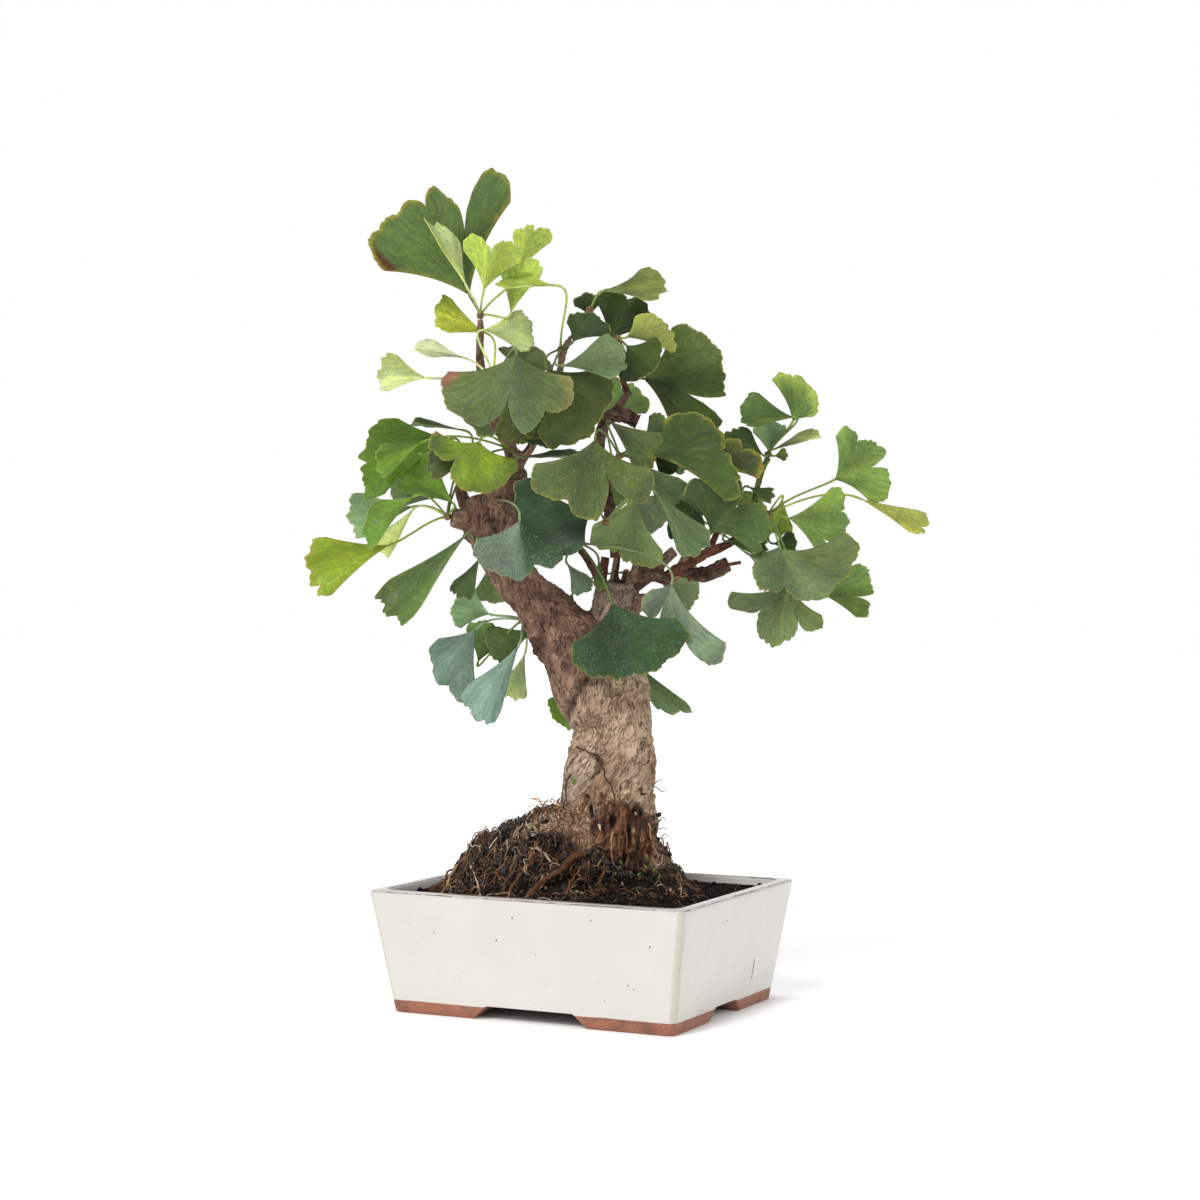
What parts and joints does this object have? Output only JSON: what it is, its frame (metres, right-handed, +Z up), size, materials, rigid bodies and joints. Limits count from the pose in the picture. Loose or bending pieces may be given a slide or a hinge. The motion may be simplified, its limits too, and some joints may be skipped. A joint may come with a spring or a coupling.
{
  "type": "ginkgo bonsai in a pot",
  "caption": "Miniature ginkgo tree with a thick bent trunk, exposed roots and fan-shaped leaves, planted in a white glazed rectangular pot on corner feet.",
  "frame": {"origin": "middle of the bounding box at the base, the plane that the pot feet stand on", "axes": "+Z up along the trunk; +X along the long side of the pot, +Y along its short side, away from the front"},
  "size_m": [0.3228, 0.2036, 0.4852],
  "materials": {
    "glaze": "glossy white glaze over reddish clay feet",
    "mesh": "matt black plastic mesh",
    "soil": "damp dark granular potting soil",
    "bark": "rough living bark",
    "dark_leaf": "semi-matt dark green leaf",
    "bluish_leaf": "semi-matt grey-green leaf",
    "fresh_leaf": "semi-matt fresh green leaf",
    "young_leaf": "semi-matt pale young leaf"
  },
  "bodies": {
    "root": {"trunk": "bark", "spray_crown": "young_leaf", "spray_shoulder": "young_leaf", "spray_leader": "bluish_leaf", "spray_leader_tip": "fresh_leaf", "spray_right_leader": "dark_leaf", "spray_inner": "dark_leaf", "spray_left_leader": "fresh_leaf", "spray_heart": "bluish_leaf", "spray_left": "fresh_leaf", "spray_limb_side": "dark_leaf", "spray_limb_front": "bluish_leaf", "spray_under_limb": "bluish_leaf", "spray_behind_trunk": "dark_leaf", "spray_fork": "dark_leaf", "spray_right_low": "dark_leaf", "spray_right_top": "fresh_leaf", "spray_right_end": "fresh_leaf", "spray_back_left": "dark_leaf", "spray_back_crown": "dark_leaf", "spray_back_middle": "fresh_leaf", "spray_back_right": "fresh_leaf", "spray_back_low": "bluish_leaf", "pot": "glaze", "drain_mesh_left": "mesh", "drain_mesh_right": "mesh", "soil": "soil"}
  },
  "joints": []
}
